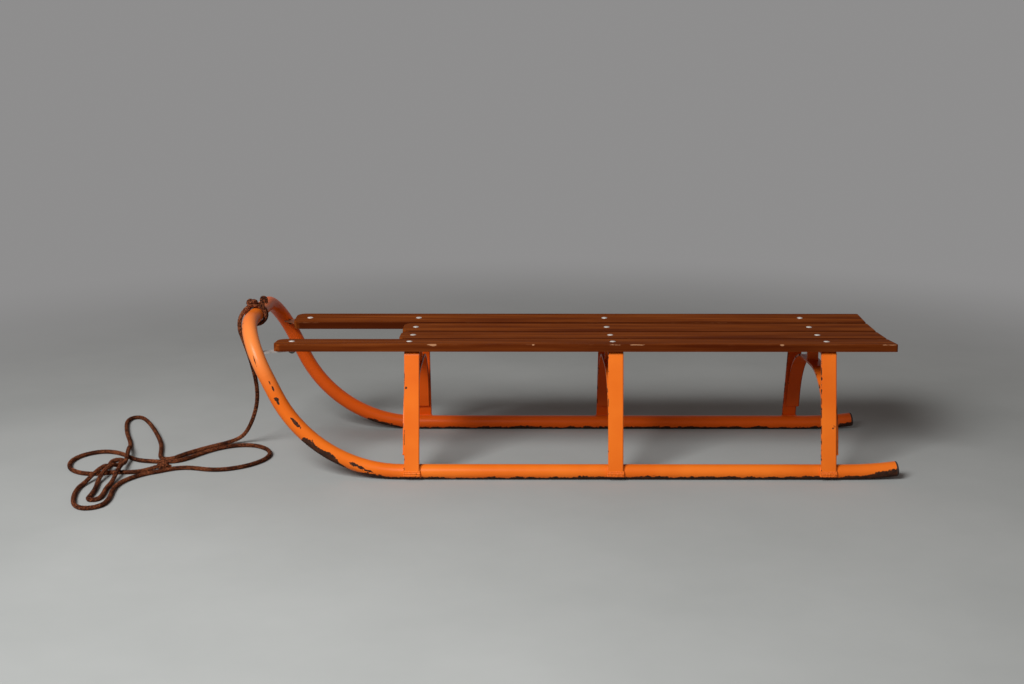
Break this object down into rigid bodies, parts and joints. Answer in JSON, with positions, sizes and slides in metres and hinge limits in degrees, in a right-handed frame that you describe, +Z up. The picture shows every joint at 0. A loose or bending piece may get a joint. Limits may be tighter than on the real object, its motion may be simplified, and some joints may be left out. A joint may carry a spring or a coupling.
{
  "type": "snow sled",
  "caption": "Low tubular steel snow sled with a raised front hoop, arched trestles, a dished seat of wooden slats and a tow rope lying loose in front.",
  "frame": {"origin": "on the ground under the middle of the sled, without the rope", "axes": "+X forward to the raised hoop, +Y to the left, +Z up"},
  "size_m": [1.4557, 0.5598, 0.2949],
  "materials": {
    "enamelled_steel": "glossy orange enamel, chipped",
    "varnished_wood": "reddish-brown varnish",
    "zinc_strap": "dull zinc",
    "tube_plugs": "matt, dark brown",
    "rope": "braided, rusty brown"
  },
  "bodies": {
    "root": {"end_knot": "rope", "front_strap_left": "zinc_strap", "front_strap_right": "zinc_strap", "hoop_knot": "rope", "runner_hoop": "enamelled_steel", "slat_inner_left": "varnished_wood", "slat_inner_right": "varnished_wood", "slat_outer_left": "varnished_wood", "slat_outer_right": "varnished_wood", "tow_rope": "rope", "trestle_front_arch": "enamelled_steel", "trestle_front_bow": "enamelled_steel", "trestle_front_stay": "enamelled_steel", "trestle_middle_arch": "enamelled_steel", "trestle_middle_bow": "enamelled_steel", "trestle_middle_stay": "enamelled_steel", "trestle_rear_arch": "enamelled_steel", "trestle_rear_bow": "enamelled_steel", "trestle_rear_stay": "enamelled_steel", "tube_plug_left": "tube_plugs", "tube_plug_right": "tube_plugs"}
  },
  "joints": []
}
